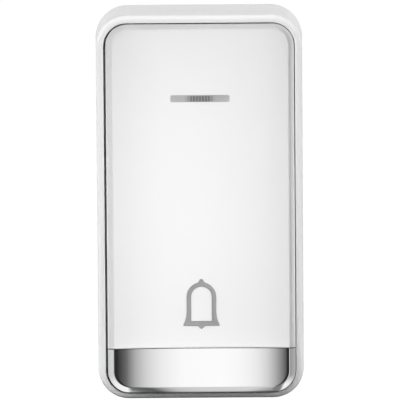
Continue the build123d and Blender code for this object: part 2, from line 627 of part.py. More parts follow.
def antenna():
    """Spring antenna beside the board, with its foot on a board pad."""
    wire = Circle(ANTENNA_WIRE / 2)
    base = Plane((ANTENNA_X, -ANTENNA_DEPTH, ANTENNA_LOW), x_dir=(1, 0, 0), z_dir=(0, 0, 1))
    start = (ANTENNA_X + ANTENNA_R - 0.1, -ANTENNA_DEPTH, ANTENNA_LOW)
    pad = (ANTENNA_PAD_X, -ANTENNA_DEPTH, ANTENNA_LOW)
    foot = Line(start, pad)
    spring = base * coil(ANTENNA_R, ANTENNA_WIRE, ANTENNA_TURNS, ANTENNA_LONG)
    spring += sweep(Plane(foot @ 0, z_dir=foot % 0) * wire, path=foot)
    spring += Pos(*pad) * Sphere(ANTENNA_WIRE / 2)
    return spring + slab(wire, BOARD_FRONT, ANTENNA_DEPTH, ANTENNA_PAD_X, ANTENNA_LOW)


# ---- Wall bracket -----------------------------------------------------------------------


def bracket_hook(z):
    """A hook that points up through a slot in the rear cover."""
    left, right = HOOK_X - HOOK_W / 2, HOOK_X + HOOK_W / 2
    stem = block(left, right, z, z + HOOK_STEM, BRACKET_FRONT, HOOK_FRONT)
    return stem + block(left, right, z + HOOK_STEM, z + HOOK_STEM + HOOK_TIP, HOOK_BACK, HOOK_FRONT)


def wall_bracket():
    """Plate that is screwed or taped to the wall, and that the case hangs on."""
    middle, height = (BRACKET_LOW + BRACKET_HIGH) / 2, BRACKET_HIGH - BRACKET_LOW
    outline = RectangleRounded(BRACKET_W, height, BRACKET_R)
    plate = slab(outline, PAD_THICK, BRACKET_FRONT, 0, middle)
    for z in HOOK_ZS:
        for hook in both_sides(bracket_hook(z)):
            plate += hook
    for z in (-WALL_HOLE_SPACING / 2, WALL_HOLE_SPACING / 2):
        plate -= rod(WALL_HOLE_R, PAD_THICK, BRACKET_FRONT, 0, z)
        plate -= extrude(at(BRACKET_FRONT) * (Pos(0, z) * Circle(SINK_R)), -SINK_DEEP, taper=SINK_ANGLE)
    return plate - rod(KEY_HOLE_R, PAD_THICK, BRACKET_FRONT, 0, PAIR_Z)


def adhesive_pad():
    """Double-sided foam pad behind the bracket."""
    return slab(RectangleRounded(PAD_W, PAD_H, PAD_R), 0.0, PAD_THICK)


PANEL_PARTS = (panel_carrier, backing_film, clear_panel, bell_icon, light_window, chrome_trim)
FIXED_PARTS = (
    main_housing,
    rear_cover,
    case_gasket,
    case_screws,
    hinge_pin,
    return_springs,
    seal_boot,
    light_guide,
    plunger,
    pairing_button,
    pairing_plunger,
    pairing_switch,
    generator_frame,
    iron_core,
    coil_bobbin,
    coil_winding,
    coil_leads,
    generator_lever,
    magnet,
    pole_plates,
    lever_axle,
    lever_spring,
    circuit_board,
    board_screws,
    transmitter_chip,
    crystal,
    rectifier_diodes,
    storage_capacitor,
    chip_resistors,
    status_leds,
    antenna,
    wall_bracket,
    adhesive_pad,
)


def main():
    """Builds every part and writes it under its own name."""
    os.makedirs("parts", exist_ok=True)
    for make in PANEL_PARTS + FIXED_PARTS:
        shape = make()
        if isinstance(shape, list):
            shape = Compound(children=[solid for piece in shape for solid in piece.solids()])
        if make in PANEL_PARTS:
            shape = swung_out(shape)
        export_step(shape, f"parts/{make.__name__}.step")


main()
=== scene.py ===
"""Looks of the wireless doorbell push button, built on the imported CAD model.

The panel's clear face, its plated end and the bell emblem are made here as fine surfaces.
Every other part is the CAD part with a worked material.  Lengths of the button's own shapes
and patterns are millimetres, and MM turns them into metres.  The studio is in metres.
"""

import json
import math

import bmesh
import bpy
import numpy as np
from mathutils import Matrix, Vector


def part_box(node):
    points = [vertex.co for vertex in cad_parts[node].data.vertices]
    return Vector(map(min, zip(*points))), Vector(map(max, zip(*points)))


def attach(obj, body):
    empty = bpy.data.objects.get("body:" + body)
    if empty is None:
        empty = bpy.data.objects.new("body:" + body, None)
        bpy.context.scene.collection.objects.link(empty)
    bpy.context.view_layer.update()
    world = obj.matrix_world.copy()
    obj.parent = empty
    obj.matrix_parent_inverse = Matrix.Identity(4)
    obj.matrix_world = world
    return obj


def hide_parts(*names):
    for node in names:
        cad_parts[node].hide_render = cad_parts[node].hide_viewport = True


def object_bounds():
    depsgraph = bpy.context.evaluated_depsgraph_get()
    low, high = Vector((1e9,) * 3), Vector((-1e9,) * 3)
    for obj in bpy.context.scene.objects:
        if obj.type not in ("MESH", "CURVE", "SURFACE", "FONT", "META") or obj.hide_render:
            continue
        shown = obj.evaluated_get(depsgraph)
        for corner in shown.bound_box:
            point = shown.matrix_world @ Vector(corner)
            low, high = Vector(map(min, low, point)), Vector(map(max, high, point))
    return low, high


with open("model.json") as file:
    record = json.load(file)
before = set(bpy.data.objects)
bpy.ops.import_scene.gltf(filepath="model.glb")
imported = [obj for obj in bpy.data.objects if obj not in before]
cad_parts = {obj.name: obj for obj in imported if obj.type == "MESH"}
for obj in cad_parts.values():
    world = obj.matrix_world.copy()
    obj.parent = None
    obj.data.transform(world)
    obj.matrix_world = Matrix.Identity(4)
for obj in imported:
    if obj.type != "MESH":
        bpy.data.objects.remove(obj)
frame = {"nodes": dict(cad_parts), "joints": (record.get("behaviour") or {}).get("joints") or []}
cad_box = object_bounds()

MM = 0.001
NODES = frame["nodes"]
JOINTS = {joint["name"]: joint for joint in frame["joints"]}

# ---- Camera -----------------------------------------------------------------------------

# The rise and the roll are degrees, and the reach is how far the camera stands off
CAMERA_RISE = 6.6
CAMERA_ROLL = 0.42
CAMERA_REACH = 1.25
CAMERA_AIM = (0.0, -0.0125, 0.0002)
VIEW_HALF_HEIGHT = 0.04333
SENSOR = 36.0
CLIP = (0.05, 20.0)


def add_camera():
    """Long lens, a little above the button's middle, level but for a slight roll."""
    data = bpy.data.cameras.new("studio_camera")
    data.sensor_width = SENSOR
    data.lens = SENSOR / 2 / (VIEW_HALF_HEIGHT / CAMERA_REACH)
    data.clip_start, data.clip_end = CLIP
    camera = bpy.data.objects.new("studio_camera", data)
    bpy.context.scene.collection.objects.link(camera)
    rise = math.radians(CAMERA_RISE)
    back = Vector((0.0, -math.cos(rise), math.sin(rise)))
    camera.location = Vector(CAMERA_AIM) + back * CAMERA_REACH
    turn = (-back).to_track_quat("-Z", "Y").to_matrix().to_4x4()
    roll = Matrix.Rotation(math.radians(-CAMERA_ROLL), 4, "Z")
    camera.matrix_world = Matrix.Translation(camera.location) @ turn @ roll
    bpy.context.scene.camera = camera


add_camera()

# ---- Node helpers -----------------------------------------------------------------------


def new_group(name, inputs, outputs):
    """An empty shader group with named float, colour or vector sockets."""
    kinds = {"F": "NodeSocketFloat", "C": "NodeSocketColor", "V": "NodeSocketVector"}
    tree = bpy.data.node_groups.new(name, "ShaderNodeTree")
    for label, kind, value in inputs:
        socket = tree.interface.new_socket(label, in_out="INPUT", socket_type=kinds[kind])
        socket.default_value = value
    for label, kind in outputs:
        tree.interface.new_socket(label, in_out="OUTPUT", socket_type=kinds[kind])
    return tree, tree.nodes.new("NodeGroupInput"), tree.nodes.new("NodeGroupOutput")


def add(tree, kind, links=(), **settings):
    """A node with its settings, and its inputs set to values or joined to sockets."""
    node = tree.nodes.new(kind)
    for label, value in settings.items():
        setattr(node, label, value)
    for label, value in links:
        if isinstance(value, bpy.types.NodeSocket):
            tree.links.new(value, node.inputs[label])
        else:
            node.inputs[label].default_value = value
    return node


def sums(tree, operation, first, second=0.0, third=0.0):
    """The result of a Math node."""
    links = ((0, first), (1, second), (2, third))
    return add(tree, "ShaderNodeMath", links, operation=operation).outputs[0]


def spread(tree, value, low, high, to_low, to_high):
    """A value carried from one range to another, smoothly and clamped."""
    span = (("From Min", low), ("From Max", high), ("To Min", to_low), ("To Max", to_high))
    links = (("Value", value), *span)
    return add(tree, "ShaderNodeMapRange", links, interpolation_type="SMOOTHSTEP").outputs["Result"]


def noise(tree, place, scale, detail=3.0):
    """Noise of a given scale at a place."""
    links = (("Vector", place), ("Scale", scale), ("Detail", detail))
    return add(tree, "ShaderNodeTexNoise", links).outputs["Fac"]


def mixed(tree, factor, first, second):
    """Two colours mixed by a factor."""
    node = tree.nodes.new("ShaderNodeMix")
    node.data_type = "RGBA"
    for label, kind, value in (("Factor", "VALUE", factor), ("A", "RGBA", first), ("B", "RGBA", second)):
        socket = next(s for s in node.inputs if s.name == label and s.type == kind)
        if isinstance(value, bpy.types.NodeSocket):
            tree.links.new(value, socket)
        else:
            socket.default_value = value
    return next(s for s in node.outputs if s.type == "RGBA")


# ---- Shared effects ---------------------------------------------------------------------

CLOUD_GREY = (0.35, 0.35, 0.36, 1)
STREAK_DARK = (0.05, 0.05, 0.05, 1)
NOISE_LOW, NOISE_HIGH = 0.3, 0.7
HAIRLINE_STRETCH = (1.0, 1.0, 0.04)


def object_place(tree):
    """Object coordinates."""
    return add(tree, "ShaderNodeTexCoord").outputs["Object"]


def uneven_gloss(tree, patch, given, out):
    """Puts out a roughness from the group's low one to its high one, by a noise."""
    span = (("From Min", NOISE_LOW), ("From Max", NOISE_HIGH))
    ends = (("To Min", given.outputs["Rough Low"]), ("To Max", given.outputs["Rough High"]))
    rough = add(tree, "ShaderNodeMapRange", (("Value", patch), *span, *ends))
    tree.links.new(rough.outputs["Result"], out.inputs["Roughness"])


def pulled(tree, stretch):
    """Object coordinates multiplied by a vector; a noise there runs long where it is small."""
    links = ((0, object_place(tree)), (1, stretch))
    return add(tree, "ShaderNodeVectorMath", links, operation="MULTIPLY").outputs[0]


def moulded_skin_group():
    """Moulded plastic: a fine even grain, faint clouding of the colour and uneven gloss."""
    inputs = (
        ("Colour", "C", (0.8, 0.8, 0.8, 1)),
        ("Clouding", "F", 0.03),
        ("Grain", "F", 3000.0),
        ("Rough Low", "F", 0.3),
        ("Rough High", "F", 0.4),
    )
    outputs = (("Colour", "C"), ("Roughness", "F"), ("Height", "F"))
    tree, given, out = new_group("moulded_skin", inputs, outputs)
    place = object_place(tree)
    cloud = spread(tree, noise(tree, place, 90.0, 2.0), NOISE_LOW, NOISE_HIGH, 0.0, 1.0)
    shade = sums(tree, "MULTIPLY", cloud, given.outputs["Clouding"])
    tree.links.new(mixed(tree, shade, given.outputs["Colour"], CLOUD_GREY), out.inputs["Colour"])
    uneven_gloss(tree, noise(tree, place, 260.0, 4.0), given, out)
    tree.links.new(noise(tree, place, given.outputs["Grain"]), out.inputs["Height"])
    return tree


def drawn_grain_group():
    """Metal: streaks along one way, drawn out by the stretch, with uneven gloss and relief."""
    inputs = (
        ("Colour", "C", (0.6, 0.6, 0.6, 1)),
        ("Dark", "F", 0.2),
        ("Stretch", "V", (1.0, 1.0, 12.0)),
        ("Scale", "F", 500.0),
        ("Rough Low", "F", 0.25),
        ("Rough High", "F", 0.45),
    )
    outputs = (("Colour", "C"), ("Roughness", "F"), ("Height", "F"))
    tree, given, out = new_group("drawn_grain", inputs, outputs)
    streak = noise(tree, pulled(tree, given.outputs["Stretch"]), given.outputs["Scale"], 4.0)
    shade = sums(tree, "MULTIPLY", streak, given.outputs["Dark"])
    tree.links.new(mixed(tree, shade, given.outputs["Colour"], STREAK_DARK), out.inputs["Colour"])
    uneven_gloss(tree, streak, given, out)
    tree.links.new(streak, out.inputs["Height"])
    return tree


def handling_group():
    """Polished surfaces: faint smears that raise the roughness, and hairline scratches."""
    inputs = (("Base", "F", 0.03), ("Smear", "F", 0.05), ("Scale", "F", 70.0))
    tree, given, out = new_group("handling", inputs, (("Roughness", "F"), ("Height", "F")))
    place = object_place(tree)
    links = (("Vector", place), ("Scale", given.outputs["Scale"]), ("Detail", 3.0), ("Distortion", 0.6))
    cloud = add(tree, "ShaderNodeTexNoise", links).outputs["Fac"]
    smear = spread(tree, cloud, 0.45, 0.75, 0.0, 1.0)
    added = sums(tree, "MULTIPLY", smear, given.outputs["Smear"])
    tree.links.new(sums(tree, "ADD", given.outputs["Base"], added), out.inputs["Roughness"])
    hair = noise(tree, pulled(tree, HAIRLINE_STRETCH), 4200.0, 2.0)
    tree.links.new(spread(tree, hair, 0.7, 0.8, 0.0, 1.0), out.inputs["Height"])
    return tree


SKIN = moulded_skin_group()
GRAIN = drawn_grain_group()
HANDLING = handling_group()

# ---- Materials --------------------------------------------------------------------------

COAT_ROUGH = 0.08
# How much of the light that meets the case and the tray spreads under their skin
UNDERSKIN = 0.6
# The share of light that passes the acrylic on its way to what lies behind it
CLEAR_IOR, CLEAR_PASS = 1.49, 0.96
PANEL_CORNER = 4.65
# How far in from the panel's edge the silver band of painted shade starts and ends, and its soft edge: the
# band stands in for the bevel's shade, and the unprinted strips at its edges stand in for the highlights on
# the bevel's rounded edges
BEVEL_SHADE_OUTER, BEVEL_SHADE_INNER, BEVEL_SHADE_SOFT = 0.35, 1.42, 0.06
BEVEL_SHADE_METAL = 0.9
# The painted shade between the ribs, which stands in for the dark recess behind them, goes from half to
# full as the ribs' cosine goes between two values
RIB_PITCH = 0.64
RIB_WAVE, RIB_SHADE = (-0.7, 0.3), (0.5, 1.0)
# The painted shade is whole up to the first half width and half height, and gone at the second
RIB_SHADE_WIDE, RIB_SHADE_TALL = (1.6, 3.6), (0.5, 0.7)
# Colour of the painted shade behind the seam
SEAM_SHADE_COLOUR = (0.02, 0.02, 0.02)


def blank(name):
    """A material with its Principled shader."""
    material = bpy.data.materials.new(name)
    material.use_nodes = True
    return material, material.node_tree, material.node_tree.nodes["Principled BSDF"]


def shaped(tree, shader, height, strength, distance):
    """Feeds a height through a Bump node into the shader's normal."""
    links = (("Height", height), ("Strength", strength), ("Distance", distance * MM))
    tree.links.new(add(tree, "ShaderNodeBump", links).outputs["Normal"], shader.inputs["Normal"])


def plastic(name, colour, rough, grain=3000.0, relief=0.01, clouding=0.03, coat=0.0, depth=0.0):
    """Moulded plastic or rubber: colour, low and high roughness, grain scale and relief.

    Depth is how far light spreads under the skin, in millimetres, in a plastic that lets some in.
    """
    material, tree, shader = blank(name)
    skin = add(tree, "ShaderNodeGroup", node_tree=SKIN)
    skin.inputs["Colour"].default_value = (*colour, 1)
    skin.inputs["Clouding"].default_value = clouding
    skin.inputs["Grain"].default_value = grain
    skin.inputs["Rough Low"].default_value, skin.inputs["Rough High"].default_value = rough
    tree.links.new(skin.outputs["Colour"], shader.inputs["Base Color"])
    tree.links.new(skin.outputs["Roughness"], shader.inputs["Roughness"])
    shaped(tree, shader, skin.outputs["Height"], 0.6, relief)
    shader.inputs["Coat Weight"].default_value = coat
    shader.inputs["Coat Roughness"].default_value = COAT_ROUGH
    if depth:
        shader.inputs["Subsurface Weight"].default_value = UNDERSKIN
        shader.inputs["Subsurface Radius"].default_value = (1.0, 1.0, 1.0)
        shader.inputs["Subsurface Scale"].default_value = depth * MM
    return material


def metal(name, colour, rough, stretch=(1.0, 1.0, 0.08), scale=900.0, relief=0.01, dark=0.2):
    """Drawn, rolled or ground metal: colour, low and high roughness and the streaks' way."""
    material, tree, shader = blank(name)
    grain = add(tree, "ShaderNodeGroup", node_tree=GRAIN)
    grain.inputs["Colour"].default_value = (*colour, 1)
    grain.inputs["Dark"].default_value = dark
    grain.inputs["Stretch"].default_value = stretch
    grain.inputs["Scale"].default_value = scale
    grain.inputs["Rough Low"].default_value, grain.inputs["Rough High"].default_value = rough
    tree.links.new(grain.outputs["Colour"], shader.inputs["Base Color"])
    tree.links.new(grain.outputs["Roughness"], shader.inputs["Roughness"])
    shader.inputs["Metallic"].default_value = 1.0
    shaped(tree, shader, grain.outputs["Height"], 0.5, relief)
    return material


def bright_plating():
    """Bright plated plastic: a near mirror with faint smears and hairlines."""
    material, tree, shader = blank("bright_plating")
    care = add(tree, "ShaderNodeGroup", node_tree=HANDLING)
    care.inputs["Base"].default_value, care.inputs["Smear"].default_value = 0.045, 0.03
    shader.inputs["Base Color"].default_value = (0.6, 0.6, 0.603, 1)
    shader.inputs["Metallic"].default_value = 1.0
    tree.links.new(care.outputs["Roughness"], shader.inputs["Roughness"])
    shaped(tree, shader, care.outputs["Height"], 0.08, 0.003)
    return material


def clear_acrylic(name, tint=(0.985, 0.985, 0.985)):
    """Polished clear acrylic; light on its way to what lies behind passes straight on."""
    material, tree, shader = blank(name)
    care = add(tree, "ShaderNodeGroup", node_tree=HANDLING)
    care.inputs["Base"].default_value, care.inputs["Smear"].default_value = 0.015, 0.02
    shader.inputs["Base Color"].default_value = (*tint, 1)
    shader.inputs["Transmission Weight"].default_value = 1.0
    shader.inputs["IOR"].default_value = CLEAR_IOR
    tree.links.new(care.outputs["Roughness"], shader.inputs["Roughness"])
    shaped(tree, shader, care.outputs["Height"], 0.05, 0.002)
    path = add(tree, "ShaderNodeLightPath")
    passing = add(tree, "ShaderNodeBsdfTransparent", (("Color", (*(CLEAR_PASS,) * 3, 1)),))
    light = sums(tree, "MAXIMUM", path.outputs["Is Shadow Ray"], path.outputs["Is Diffuse Ray"])
    links = ((0, light), (1, shader.outputs[0]), (2, passing.outputs[0]))
    choice = add(tree, "ShaderNodeMixShader", links)
    tree.links.new(choice.outputs[0], tree.nodes["Material Output"].inputs["Surface"])
    return material


def paint_over(tree, mask, colour):
    """Paints a colour over a finish wherever a mask is one; every use here paints shade."""
    base = tree.nodes["Principled BSDF"].inputs["Base Color"]
    tree.links.new(mixed(tree, mask, base.links[0].from_socket, (*colour, 1)), base)


def edge_distance(tree, x, z, half, corner):
    """Distance from the edge of a rounded rectangle about the origin: below zero inside.

    Each coordinate is taken from the corner's centre; what is left above zero gives the
    distance round the corner, and the larger of the two gives it along the straight sides.
    """
    beyond_x = sums(tree, "SUBTRACT", sums(tree, "ABSOLUTE", x), half[0] - corner)
    beyond_z = sums(tree, "SUBTRACT", sums(tree, "ABSOLUTE", z), half[1] - corner)
    out_x, out_z = (sums(tree, "MAXIMUM", value, 0.0) for value in (beyond_x, beyond_z))
    square = sums(tree, "MULTIPLY_ADD", out_x, out_x, sums(tree, "MULTIPLY", out_z, out_z))
    within = sums(tree, "MINIMUM", sums(tree, "MAXIMUM", beyond_x, beyond_z), 0.0)
    return sums(tree, "SUBTRACT", sums(tree, "ADD", sums(tree, "SQRT", square), within), corner)


def moved(tree, middle):
    """Object coordinates, as X and Z distances from a middle point."""
    part = add(tree, "ShaderNodeSeparateXYZ", ((0, object_place(tree)),)).outputs
    return [sums(tree, "SUBTRACT", part[axis], at) for axis, at in zip("XZ", middle)]


def film_with_bevel_shade(name, colour, bevel_shade_colour):
    """White film with a satin silver band of painted shade round it, under the clear face's bevel: the band
    stands in for the bevel's shade, and the white strips left at its edges stand in for the highlights on
    the bevel's rounded edges.
    """
    material = plastic(name, colour, (0.35, 0.45), 2500.0, 0.003, 0.01)
    tree = material.node_tree
    low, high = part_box("backing_film")
    trim_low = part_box("chrome_trim")[0]
    half = ((high.x - low.x) / 2, (high.z - trim_low.z) / 2)
    x, z = moved(tree, ((high.x + low.x) / 2, (high.z + trim_low.z) / 2))
    depth = edge_distance(tree, x, z, half, PANEL_CORNER * MM)
    outer = spread(tree, depth, -(BEVEL_SHADE_OUTER + BEVEL_SHADE_SOFT) * MM, -BEVEL_SHADE_OUTER * MM, 1.0, 0.0)
    inner = spread(tree, depth, -(BEVEL_SHADE_INNER + BEVEL_SHADE_SOFT) * MM, -BEVEL_SHADE_INNER * MM, 0.0, 1.0)
    band = sums(tree, "MULTIPLY", outer, inner)
    # Painted shade: the silver band under the bevel stands in for the bevel's shade
    paint_over(tree, band, bevel_shade_colour)
    metallic = tree.nodes["Principled BSDF"].inputs["Metallic"]
    tree.links.new(sums(tree, "MULTIPLY", band, BEVEL_SHADE_METAL), metallic)
    return material


def window_with_rib_shade(name, colour, dark):
    """Frosted window with painted shade: dark upright stripes between its ribs, across its middle, stand in
    for the shade of the recess behind it.
    """
    material = plastic(name, colour, (0.4, 0.5), 3000.0, 0.006)
    tree = material.node_tree
    low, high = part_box("light_window")
    x, z = moved(tree, ((low.x + high.x) / 2, (low.z + high.z) / 2))
    wave = sums(tree, "COSINE", sums(tree, "MULTIPLY", x, 2 * math.pi / (RIB_PITCH * MM)))
    rib_shade = spread(tree, wave, *RIB_WAVE, *RIB_SHADE)
    across, upright = (
        spread(tree, sums(tree, "ABSOLUTE", value), full * MM, gone * MM, 1.0, 0.0)
        for value, (full, gone) in ((x, RIB_SHADE_WIDE), (z, RIB_SHADE_TALL))
    )
    # Painted shade: the dark stripes stand in for the shade of the recess behind the ribs
    paint_over(tree, sums(tree, "MULTIPLY", rib_shade, sums(tree, "MULTIPLY", across, upright)), dark)
    return material


CASE_WHITE = (0.88, 0.88, 0.88)
COPPER_ENAMEL = (0.62, 0.2, 0.07)

FINISHES = {
    "main_housing": plastic(
        "case_white", CASE_WHITE, (0.24, 0.26), 1400.0, 0.002, 0.01, coat=0.1, depth=0.6
    ),
    # The tray carries the painted seam shade
    "panel_carrier": plastic("tray_white_painted_shade", CASE_WHITE, (0.3, 0.38), 2200.0, 0.006, depth=0.6),
    # The film carries painted shade: a silver band under the bevel and a dark line behind the seam
    "backing_film": film_with_bevel_shade("film_white_painted_shade", (0.93, 0.93, 0.93), (0.86, 0.86, 0.86)),
    "rear_cover": plastic("cover_white", (0.8, 0.8, 0.8), (0.45, 0.6), 3600.0, 0.03),
    "wall_bracket": plastic("bracket_grey", (0.62, 0.62, 0.615), (0.5, 0.65), 3200.0, 0.035),
    "adhesive_pad": plastic("pad_foam", (0.74, 0.74, 0.72), (0.8, 0.95), 5200.0, 0.08, 0.12),
    "case_gasket": plastic("gasket_silicone", (0.22, 0.22, 0.225), (0.6, 0.75), 2600.0, 0.015),
    "seal_boot": plastic("boot_silicone", (0.09, 0.09, 0.095), (0.55, 0.7), 2600.0, 0.015),
    "plunger": plastic("plunger_acetal", (0.03, 0.03, 0.032), (0.3, 0.4), 2400.0, 0.006),
    "pairing_button": plastic("key_grey", (0.2, 0.2, 0.205), (0.45, 0.55), 3400.0, 0.02),
    "pairing_plunger": plastic("stem_black", (0.02, 0.02, 0.02), (0.4, 0.5), 3400.0, 0.01),
    "pairing_switch": plastic("switch_black", (0.025, 0.025, 0.026), (0.4, 0.5), 3400.0, 0.01),
    "generator_frame": plastic("frame_nylon", (0.022, 0.022, 0.024), (0.42, 0.58), 3000.0, 0.02, 0.08),
    "generator_lever": plastic("lever_acetal", (0.7, 0.69, 0.65), (0.32, 0.42), 2400.0, 0.008),
    "coil_bobbin": plastic("bobbin_nylon", (0.68, 0.63, 0.5), (0.35, 0.45), 2600.0, 0.01),
    "transmitter_chip": plastic("chip_epoxy", (0.022, 0.022, 0.024), (0.5, 0.62), 4200.0, 0.01),
    "rectifier_diodes": plastic("diode_epoxy", (0.02, 0.02, 0.02), (0.4, 0.5), 4200.0, 0.01),
    "chip_resistors": plastic("resistor_glaze", (0.03, 0.03, 0.035), (0.2, 0.3), 4200.0, 0.005),
    "status_leds": plastic("lamp_body", (0.85, 0.84, 0.74), (0.2, 0.3), 3000.0, 0.004),
    "case_screws": metal("case_screw_zinc", (0.5, 0.51, 0.53), (0.28, 0.42), (1.0, 1.0, 1.0), 1500.0, 0.01),
    "board_screws": metal("board_screw_zinc", (0.52, 0.53, 0.55), (0.28, 0.42), (1.0, 1.0, 1.0), 1800.0),
    "hinge_pin": metal("pin_ground_steel", (0.6, 0.6, 0.6), (0.16, 0.26), (0.05, 1.0, 1.0), 1600.0),
    "lever_axle": metal("axle_ground_steel", (0.6, 0.6, 0.6), (0.16, 0.26), (0.05, 1.0, 1.0), 1700.0),
    "return_springs": metal("spring_wire", (0.42, 0.42, 0.43), (0.3, 0.42), (1.0, 1.0, 1.0), 2400.0),
    "lever_spring": metal("torsion_wire", (0.4, 0.4, 0.41), (0.3, 0.42), (1.0, 1.0, 1.0), 2400.0),
    "iron_core": metal("soft_iron", (0.36, 0.35, 0.34), (0.4, 0.55), (1.0, 1.0, 0.06), 1500.0, 0.02, 0.35),
    "pole_plates": metal("pole_steel", (0.48, 0.48, 0.48), (0.3, 0.45), (0.06, 1.0, 1.0), 1500.0, 0.015),
    "magnet": metal("magnet_nickel", (0.7, 0.67, 0.61), (0.12, 0.2), (1.0, 1.0, 1.0), 900.0, 0.003, 0.08),
    "coil_winding": metal(
        "winding_enamel", COPPER_ENAMEL, (0.2, 0.34), (0.02, 0.02, 1.0), 9000.0, 0.06, 0.5
    ),
    "coil_leads": metal("lead_enamel", COPPER_ENAMEL, (0.2, 0.3), (0.1, 1.0, 1.0), 1500.0),
    "crystal": metal("crystal_can", (0.66, 0.66, 0.63), (0.2, 0.32), (0.08, 1.0, 1.0), 1300.0),
    "storage_capacitor": metal("capacitor_can", (0.7, 0.71, 0.73), (0.24, 0.36), (1.0, 0.05, 1.0), 1300.0),
    "antenna": metal("antenna_wire", (0.72, 0.5, 0.2), (0.2, 0.32), (1.0, 1.0, 1.0), 2400.0),
    "circuit_board": plastic("solder_mask", (0.01, 0.11, 0.04), (0.25, 0.4), 1800.0, 0.02, 0.1),
    "clear_panel": clear_acrylic("face_acrylic"),
    "light_guide": clear_acrylic("guide_acrylic", (0.95, 0.97, 0.98)),
    "chrome_trim": bright_plating(),
    "bell_icon": metal("emblem_foil", (0.45, 0.45, 0.45), (0.3, 0.4), (0.06, 1.0, 1.0), 2600.0, 0.006),
    # The window's dark rib stripes are painted shade
    "light_window": window_with_rib_shade("window_frosted_painted_shade", (0.48, 0.48, 0.48), (0.015, 0.015, 0.015)),
}

for node_name, finish in FINISHES.items():
    mesh = NODES[node_name].data
    mesh.materials.clear()
    mesh.materials.append(finish)

# ---- Panel surfaces ---------------------------------------------------------------------

HINGE = np.array(JOINTS["panel_press"]["pos_m"]) / MM
STROKE = math.radians(JOINTS["panel_press"]["range_deg"][1])
CROWN_R = 180.0
BEVEL_IN, BEVEL_DEEP = 1.25, 0.7
EDGE_ROUND = 0.16
# The seam's gap, how far its middle bows up, and how far from it the bow dies away
SEAM_GAP, SEAM_BOW, SEAM_FADE = 0.2, 0.27, 5.0
# Half the height of the painted shade line behind the seam, and its soft edge
SEAM_SHADE_HALF, SEAM_SHADE_SOFT = 0.13, 0.06
# How far the blocks' backs dip into the film, so that no sliver of air is left
BONDED = 0.02
ROW_PITCH, CORNER_POINTS, COLUMNS = 1.6, 15, 61
# Edges that turn by more than these angles, in degrees, stay crisp
FACE_SHARP, EMBLEM_SHARP = 40, 50


def swung(points, angle):
    """Points in millimetres turned about the hinge pin; a positive angle presses the panel."""
    c, s = math.cos(angle), math.sin(angle)
    turn = np.array([[1, 0, 0], [0, c, -s], [0, s, c]])
    return (points - HINGE) @ turn.T + HINGE


def pressed_box(name):
    """Lowest and highest corner of a panel part, in millimetres, with the panel pressed home."""
    mesh = NODES[name].data
    points = np.empty(len(mesh.vertices) * 3)
    mesh.vertices.foreach_get("co", points)
    points = swung(points.reshape(-1, 3) / MM, STROKE)
    return points.min(axis=0), points.max(axis=0)


def make_piece(name, points, faces, finish, body, stands_for, sharp):
    """A mesh object from points in millimetres, closed up, facing outwards and riding a body.

    It is shown instead of the CAD node that it stands for.
    """
    mesh = bpy.data.meshes.new(name)
    mesh.from_pydata((points * MM).tolist(), [], faces)
    work = bmesh.new()
    work.from_mesh(mesh)
    bmesh.ops.remove_doubles(work, verts=work.verts, dist=1e-7)
    bmesh.ops.recalc_face_normals(work, faces=work.faces)
    work.to_mesh(mesh)
    work.free()
    mesh.shade_smooth()
    mesh.set_sharp_from_angle(angle=math.radians(sharp))
    mesh.materials.append(finish)
    piece = bpy.data.objects.new(name, mesh)
    bpy.context.scene.collection.objects.link(piece)
    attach(piece, body)
    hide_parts(stands_for)


def quads(grid):
    """The four-sided faces of a grid of point numbers."""
    a, b, c, d = grid[:-1, :-1], grid[:-1, 1:], grid[1:, 1:], grid[1:, :-1]
    return np.stack([a, b, c, d], axis=-1).reshape(-1, 4)


def rounded(corner, before, after, steps=5):
    """A quadratic curve that replaces a corner, from a point before it to a point after it."""
    t = np.linspace(0, 1, steps)[:, None]
    return (1 - t) ** 2 * before + 2 * t * (1 - t) * corner + t ** 2 * after


def bevel_profile():
    """(margin, drop) pairs up the bevel: both of its edges are rounded by EDGE_ROUND."""
    low, high = np.array([0.0, BEVEL_DEEP]), np.array([BEVEL_IN, 0.0])
    along = (high - low) / np.linalg.norm(high - low) * EDGE_ROUND
    foot = rounded(low, low + [0, EDGE_ROUND], low + along)
    brow = rounded(high, high - along, high + [EDGE_ROUND, 0])
    return np.vstack([foot, brow])


def crown_depth(x):
    """Drop of the crown from its middle: the sagitta of a circle of radius CROWN_R."""
    return CROWN_R - np.sqrt(CROWN_R ** 2 - x ** 2)


